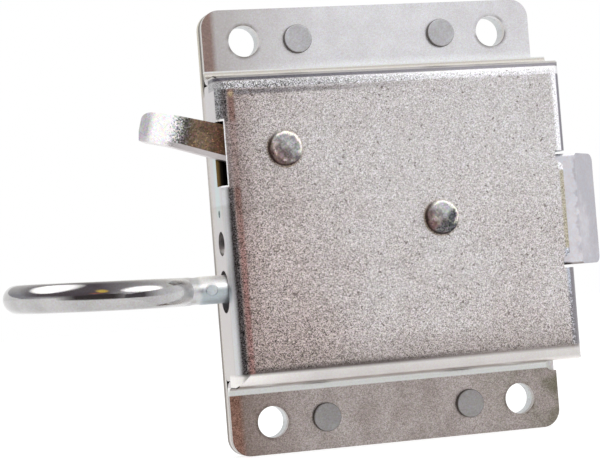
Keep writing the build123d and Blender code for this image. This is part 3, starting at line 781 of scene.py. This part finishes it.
def build_disc_finish():
    material, tree, place, facing = start_metal("flange_rivet_discs")
    grain = use_group(tree, plating_grain, Grains_per_metre=3200.0, Hue_spread=0.12)
    cloud = use_group(tree, bath_clouds, Clouds_per_metre=260.0, Seed=2.7)["Cloud"]
    beside = minus(tree, absolute(tree, place["X"]), flange_rivet_x)
    above = minus(tree, absolute(tree, place["Z"]), screw_z)
    away = distance_from(tree, beside, above)
    upper = ramp(tree, place["Z"], -10 * mm, 10 * mm)
    disc = blend_colours(tree, upper, tint(142, 140, 139), tint(180, 180, 183))
    disc = blend_colours(tree, overlap(tree, cloud, 0.4), disc, tint(158, 156, 157))
    # Painted shade round the side of the disc.
    rim = overlap(tree, ramp(tree, away, 2.9 * mm, 3.3 * mm), ramp(tree, facing["Y"], -0.95, -0.5))
    colour = blend_colours(tree, rim, disc, tint(100, 95, 90))
    colour = speckled(tree, colour, grain, 0.12)
    return finish_metal(material, colour, 0.5, grain["Level"], 0.25)


dress(build_dome_finish("pivot_rivet_dome", dome_centres[0], 1.1, 0.25), "lever_pivot_rivet")
dress(build_dome_finish("guide_rivet_dome", dome_centres[1], 6.4, 1.0), "guide_rivet")
dress(build_disc_finish(), "flange_rivets")

# %% [markdown]
# ## The lever
#
# The curled end of the lever carries a painted white highlight, and the tip beyond it its own light
# grey. The straight arm near the case carries a painted brown reflection with golden specks, darker and
# redder next to the case, which ends in a dark grainy band and painted greys before the highlight. The
# distance along the arm mixes them. The bevelled lower edge was ground after bending, and it keeps the
# plain light metal all along, without the painted reflection.

# %% Finish: lever
lever_pivot = Vector((-25.05, 0.0, 17.8)) * mm
arm_rise = radians(15.85)


def build_lever_finish():
    material, tree, place, facing = start_metal("lever_steel")
    grain = use_group(tree, plating_grain, Grains_per_metre=3000.0, Hue_spread=0.3)
    cloud = use_group(tree, bath_clouds, Clouds_per_metre=240.0, Seed=3.3)["Cloud"]
    beside = minus(tree, lever_pivot.x, place["X"])
    above = minus(tree, place["Z"], lever_pivot.z)
    along = weigh(tree, beside, cos(arm_rise), above, sin(arm_rise))
    ragged = calculate(tree, "MULTIPLY_ADD", grain["Level"], 1.6 * mm, minus(tree, along, 0.8 * mm))
    # A painted brown reflection on the straight arm, darker and redder next to the case, with golden
    # specks.
    brown_reflection = blend_colours(tree, cloud, tint(94, 78, 65), tint(128, 110, 92))
    near_case = ramp(tree, place["X"], -44 * mm, -39.5 * mm, 0.0, 0.6)
    brown_reflection = blend_colours(tree, near_case, brown_reflection, tint(88, 58, 46))
    gold = ramp(tree, grain["Level"], 0.84, 0.92, 0.0, 0.7)
    brown_reflection = blend_colours(tree, gold, brown_reflection, tint(172, 142, 98))
    # Along the arm the brown gives way to a dark grainy band, painted greys and a painted white
    # highlight on the curl, then the tip's own light grey.
    fringe = blend_colours(tree, grain["Level"], tint(28, 26, 26), tint(120, 116, 112))
    greys = blend_colours(tree, grain["Level"], tint(120, 120, 120), tint(232, 232, 232))
    tip = blend_colours(tree, cloud, tint(180, 177, 182), tint(200, 197, 202))
    colour = blend_colours(tree, ramp(tree, ragged, 21.2 * mm, 22.4 * mm), brown_reflection, fringe)
    colour = blend_colours(tree, ramp(tree, ragged, 22.9 * mm, 24.6 * mm), colour, greys)
    colour = blend_colours(tree, ramp(tree, ragged, 24.6 * mm, 26.0 * mm), colour, tint(252, 252, 252))
    colour = blend_colours(tree, ramp(tree, along, 29.4 * mm, 30.6 * mm), colour, tip)
    colour = speckled(tree, colour, grain, ramp(tree, along, 22.0 * mm, 26.0 * mm, 0.45, 0.04))
    ground = overlap(tree, ramp(tree, facing["Z"], -0.3, -0.6), ramp(tree, along, 8.0 * mm, 9.0 * mm))
    colour = blend_colours(tree, ground, colour, tint(202, 196, 196))
    roughness = ramp(tree, along, 22.0 * mm, 26.0 * mm, 0.42, 0.2)
    return finish_metal(material, colour, roughness, grain["Level"], 0.2)


dress(build_lever_finish(), "lever")

# %% [markdown]
# ## The bolt
#
# The bolt is a casting: paler and softer than the sheet, slightly lilac, with faint blotches and no
# sparkle. Beside the case a painted highlight runs along the edge of the bevel up to a ragged line, and
# its upper edge carries a painted highlight.

# %% Finish: bolt
def build_bolt_finish():
    material, tree, place, facing = start_metal("bolt_casting")
    grain = use_group(tree, plating_grain, Grains_per_metre=2400.0, Hue_spread=0.05)
    cloud = use_group(tree, bath_clouds, Clouds_per_metre=130.0, Seed=9.4)["Cloud"]
    small_cloud = use_group(tree, bath_clouds, Clouds_per_metre=480.0, Seed=5.5)["Cloud"]
    colour = blend_colours(tree, cloud, tint(178, 177, 183), tint(198, 196, 201))
    colour = blend_colours(tree, overlap(tree, small_cloud, 0.55), colour, tint(172, 171, 180))
    # A painted highlight along the edge between the flat front and the bevel, with a ragged border.
    ragged = calculate(tree, "MULTIPLY_ADD", small_cloud, 1.4 * mm, place["X"])
    bevel_edge_highlight = overlap(tree, band(tree, ragged, 41.5 * mm, 46.6 * mm, 1.2 * mm), 0.4)
    colour = blend_colours(tree, bevel_edge_highlight, colour, tint(226, 225, 229))
    # A painted highlight on the upper edge.
    upper_edge = ramp(tree, facing["Z"], 0.4, 0.8)
    colour = blend_colours(tree, upper_edge, colour, tint(238, 238, 240))
    colour = speckled(tree, colour, grain, 0.05)
    lower_edge = ramp(tree, facing["Z"], -0.45, -0.8)
    colour = blend_colours(tree, lower_edge, colour, tint(150, 142, 140))
    roughness = ramp(tree, small_cloud, 0.0, 1.0, 0.54, 0.4)
    height = weigh(tree, small_cloud, 0.6, grain["Level"], 0.4)
    return finish_metal(material, colour, roughness, height, 0.3, 0.1 * mm)


dress(build_bolt_finish(), "bolt")

# %% [markdown]
# ## The pull ring
#
# The ring and its rod are bright round bar. They mirror the room, so the finish itself does little: a
# low roughness, faint clouds in the plating, a few fine ripples that break the reflections, and a
# bluish grey smudge where ring and rod meet. Besides, a painted reflection lightens the ring towards
# the rod, and the rod carries a painted highlight along its top, darker and bluer below.

# %% Finish: pull ring
def build_ring_finish():
    material, tree, place, facing = start_metal("ring_polish")
    cloud = use_group(tree, bath_clouds, Clouds_per_metre=150.0, Seed=7.7)["Cloud"]
    ripple = use_group(tree, bath_clouds, Clouds_per_metre=520.0, Seed=2.2)["Cloud"]
    grain = use_group(tree, plating_grain, Grains_per_metre=3000.0, Hue_spread=0.1)
    colour = blend_colours(tree, cloud, tint(176, 175, 175), tint(190, 189, 189))
    weld = band(tree, place["X"], -47.6 * mm, -44.6 * mm, 1.0 * mm)
    colour = blend_colours(
        tree, overlap(tree, weld, ramp(tree, ripple, 0.2, 0.9, 0.2, 0.8)), colour, tint(126, 134, 142))
    # A painted reflection lightens the ring towards the rod.
    soft_end = ramp(tree, place["X"], -57 * mm, -51 * mm, 0.0, 0.8)
    colour = blend_colours(tree, soft_end, colour, tint(216, 217, 218))
    on_rod = ramp(tree, place["X"], -46.4 * mm, -45.6 * mm)
    # The rod carries a painted highlight along its top, darker and bluer below.
    rod_colour = blend_colours(
        tree, ramp(tree, facing["Z"], -0.1, 0.35), tint(176, 185, 190), tint(244, 244, 244))
    colour = blend_colours(tree, on_rod, colour, rod_colour)
    colour = speckled(tree, colour, grain, 0.06)
    polish = ramp(tree, cloud, 0.0, 1.0, 0.13, 0.08)
    matte_end = ramp(tree, place["X"], -56 * mm, -50 * mm, 0.0, 0.3)
    roughness = calculate(tree, "ADD", polish, matte_end)
    return finish_metal(material, colour, roughness, ripple, 0.07)


dress(build_ring_finish(), "pull_ring")

# %% [markdown]
# ## Inside the case
#
# The bushes, pins and the spring never shine: they are turned steel and oiled wire. They show only
# through the slot and the gaps, but they still get a grain and a film of oil.

# %% Finish: inner pieces
def build_inner_finish(name, dark_colour, light_colour, roughness):
    material, tree, _, _ = start_metal(name)
    grain = use_group(tree, plating_grain, Grains_per_metre=2600.0, Hue_spread=0.1)
    cloud = use_group(tree, bath_clouds, Clouds_per_metre=220.0, Seed=0.6)["Cloud"]
    colour = speckled(tree, blend_colours(tree, cloud, dark_colour, light_colour), grain, 0.12)
    return finish_metal(material, colour, roughness, grain["Level"], 0.2)


dress(build_inner_finish("turned_steel", tint(118, 116, 114), tint(158, 157, 156), 0.36),
      "lever_spacer", "guide_bush", "cam_pin", "rod_washer", "spring_seat")
dress(build_inner_finish("oiled_wire", tint(70, 68, 68), tint(104, 102, 104), 0.3), "bolt_spring")

# %% [markdown]
# ## The studio
#
# Metal shows what stands round it, so the studio matters as much as the finish. The room is white
# all round, and two soft lamps, high on the left and on the right, put light on the edges and domes.
# Camera and mirrors see the room pure white, but it lights the rest with a little less.

# %% World
room_light = 0.7
world = bpy.data.worlds.new("white_room")
bpy.context.scene.world = world
world.use_nodes = True
world_tree = world.node_tree
background = world_tree.nodes["Background"]
rays = world_tree.nodes.new("ShaderNodeLightPath").outputs
seen = calculate(world_tree, "MAXIMUM", rays["Is Camera Ray"], rays["Is Glossy Ray"])
seen = calculate(world_tree, "MAXIMUM", seen, rays["Is Transmission Ray"])
strength = calculate(world_tree, "MULTIPLY_ADD", seen, 1.0 - room_light, room_light)
put(world_tree, background.inputs["Strength"], strength)
put(world_tree, background.inputs["Color"], white)

# %% Floor
floor_height = cad_box[0][2]
floor_size = 6.0
floor_glow = 0.76
bpy.ops.object.select_all(action="DESELECT")
bpy.ops.mesh.primitive_plane_add(size=floor_size, location=(0, 0, floor_height))
floor = bpy.context.object
floor.name = "floor"
floor_material = bpy.data.materials.new("pale_floor")
floor_material.use_nodes = True
floor_tree = floor_material.node_tree
floor_shader = floor_tree.nodes["Principled BSDF"].inputs
put(floor_tree, floor_shader["Base Color"], tint(160, 160, 160))
put(floor_tree, floor_shader["Roughness"], 0.9)
put(floor_tree, floor_shader["Emission Color"], white)
put(floor_tree, floor_shader["Emission Strength"], floor_glow)
floor.data.materials.append(floor_material)

# %% Lamps
lamp_distance = 0.7


def aim(azimuth, elevation, distance):
    """A place round the lock: azimuth 0 is straight in front, 90 is to the left of it."""
    level = distance * cos(radians(elevation))
    return Vector((
        -level * sin(radians(azimuth)),
        -level * cos(radians(azimuth)),
        distance * sin(radians(elevation)),
    ))


def add_lamp(name, azimuth, elevation, size, power):
    data = bpy.data.lights.new(name, "AREA")
    data.shape = "RECTANGLE"
    data.size, data.size_y = size
    data.energy = power
    lamp = bpy.data.objects.new(name, data)
    lamp.location = aim(azimuth, elevation, lamp_distance)
    lamp.rotation_mode = "QUATERNION"
    lamp.rotation_quaternion = (-lamp.location).to_track_quat("-Z", "Y")
    bpy.context.scene.collection.objects.link(lamp)


add_lamp("left_softbox", 44, 56, (0.55, 0.6), 1.1)
add_lamp("right_softbox", -76, 44, (0.7, 1.0), 1.8)
print("lamps ready")

# %% [markdown]
# ## A dark canopy for the ring
#
# In the photograph the bright ring mirrors a dark room with two softboxes, while the flat case
# mirrors nothing but white. So the dark room stands close round the ring alone: a low canopy over
# it, a wall in front of it and a small screen between ring and case. Their inner sides glow with
# what the ring should mirror. Seen from outside they are clear, and only reflections see them.

# %% Canopy, wall and side screen
softbox_glow = (2.4, 2.4, 2.4, 1.0)


def oval(tree, place, centre, half_size, softness=0.15):
    """A mask that is 1 inside an oval on the canopy, all in millimetres."""
    beside, before = (
        calculate(tree, "DIVIDE", minus(tree, place[axis], middle * mm), half * mm)
        for axis, middle, half in zip("XY", centre, half_size))
    return ramp(tree, distance_from(tree, beside, before), 1.0 + softness, 1.0 - softness)


def paint_canopy(tree, place):
    rear = ramp(tree, place["Y"], -22 * mm, 8 * mm)
    rear_colour = blend_colours(
        tree, ramp(tree, place["X"], -118 * mm, -62 * mm), tint(170, 170, 177), tint(248, 246, 240))
    front_colour = blend_colours(
        tree, ramp(tree, place["X"], -72 * mm, -38 * mm), tint(108, 100, 106), tint(226, 226, 226))
    far_left = ramp(tree, place["X"], -130 * mm, -190 * mm)
    front_colour = blend_colours(tree, far_left, front_colour, tint(210, 210, 212))
    colour = blend_colours(tree, rear, front_colour, rear_colour)
    reddish, golden = tint(196, 120, 100), tint(250, 216, 110)
    colour = blend_colours(tree, oval(tree, place, (-81, -66), (6, 6), 0.5), colour, reddish)
    colour = blend_colours(tree, oval(tree, place, (-73, -52), (4, 10), 0.3), colour, golden)
    colour = blend_colours(tree, oval(tree, place, (-92.5, -20), (16, 12)), colour, softbox_glow)
    return blend_colours(tree, oval(tree, place, (-38, -47), (20, 19)), colour, softbox_glow)


def paint_wall(tree, place):
    colour = blend_colours(
        tree, ramp(tree, place["X"], -60 * mm, -32 * mm), tint(74, 68, 68), tint(170, 168, 168))
    left_end = ramp(tree, place["X"], -130 * mm, -215 * mm)
    right_end = ramp(tree, place["X"], -45 * mm, -24 * mm)
    foot = ramp(tree, place["Z"], -38 * mm, -48 * mm)
    fade = calculate(tree, "MAXIMUM", calculate(tree, "MAXIMUM", left_end, right_end), foot)
    return blend_colours(tree, fade, colour, white)


def paint_side(tree, place):
    border = calculate(tree, "MULTIPLY_ADD", place["Y"], 0.42, -2.8 * mm)
    above_border = minus(tree, place["Z"], border)
    dark = blend_colours(
        tree, ramp(tree, place["Y"], -48 * mm, -30 * mm), tint(92, 86, 92), tint(236, 236, 238))
    return blend_colours(tree, ramp(tree, above_border, -1.5 * mm, 0.5 * mm), white, dark)


def add_screen(name, low_corner, high_corner, turns, paint):
    """A flat screen between two corners (mm), seen only in reflections and only from its front."""
    low, high = Vector(low_corner) * mm, Vector(high_corner) * mm
    size = high - low
    bpy.ops.object.select_all(action="DESELECT")
    bpy.ops.mesh.primitive_plane_add(size=1, location=(low + high) / 2, rotation=turns)
    screen = bpy.context.object
    screen.name = name
    screen.scale = (size.x or size.z, size.y or size.z, 1)
    bpy.ops.object.transform_apply(location=True, rotation=True, scale=True)
    material = bpy.data.materials.new(name + "_glow")
    material.use_nodes = True
    tree = material.node_tree
    tree.nodes.remove(tree.nodes["Principled BSDF"])
    place = add_node(tree, "ShaderNodeSeparateXYZ", {0: object_place(tree)}).outputs
    glow = add_node(tree, "ShaderNodeEmission", {"Color": paint(tree, place)}).outputs[0]
    clear = tree.nodes.new("ShaderNodeBsdfTransparent").outputs[0]
    behind = tree.nodes.new("ShaderNodeNewGeometry").outputs["Backfacing"]
    mix = add_node(tree, "ShaderNodeMixShader", {0: behind, 1: glow, 2: clear})
    put(tree, tree.nodes["Material Output"].inputs["Surface"], mix.outputs[0])
    screen.data.materials.append(material)
    screen.visible_camera = False
    screen.visible_diffuse = False
    screen.visible_shadow = False


add_screen("ring_canopy", (-220, -95, 6), (-22, 45, 6), (radians(180), 0, 0), paint_canopy)
add_screen("ring_wall", (-220, -95, -50), (-22, -95, 6), (radians(-90), 0, 0), paint_wall)
add_screen("ring_side", (-42, -95, -40), (-42, -16, -4), (0, radians(-90), 0), paint_side)
print("screens ready")
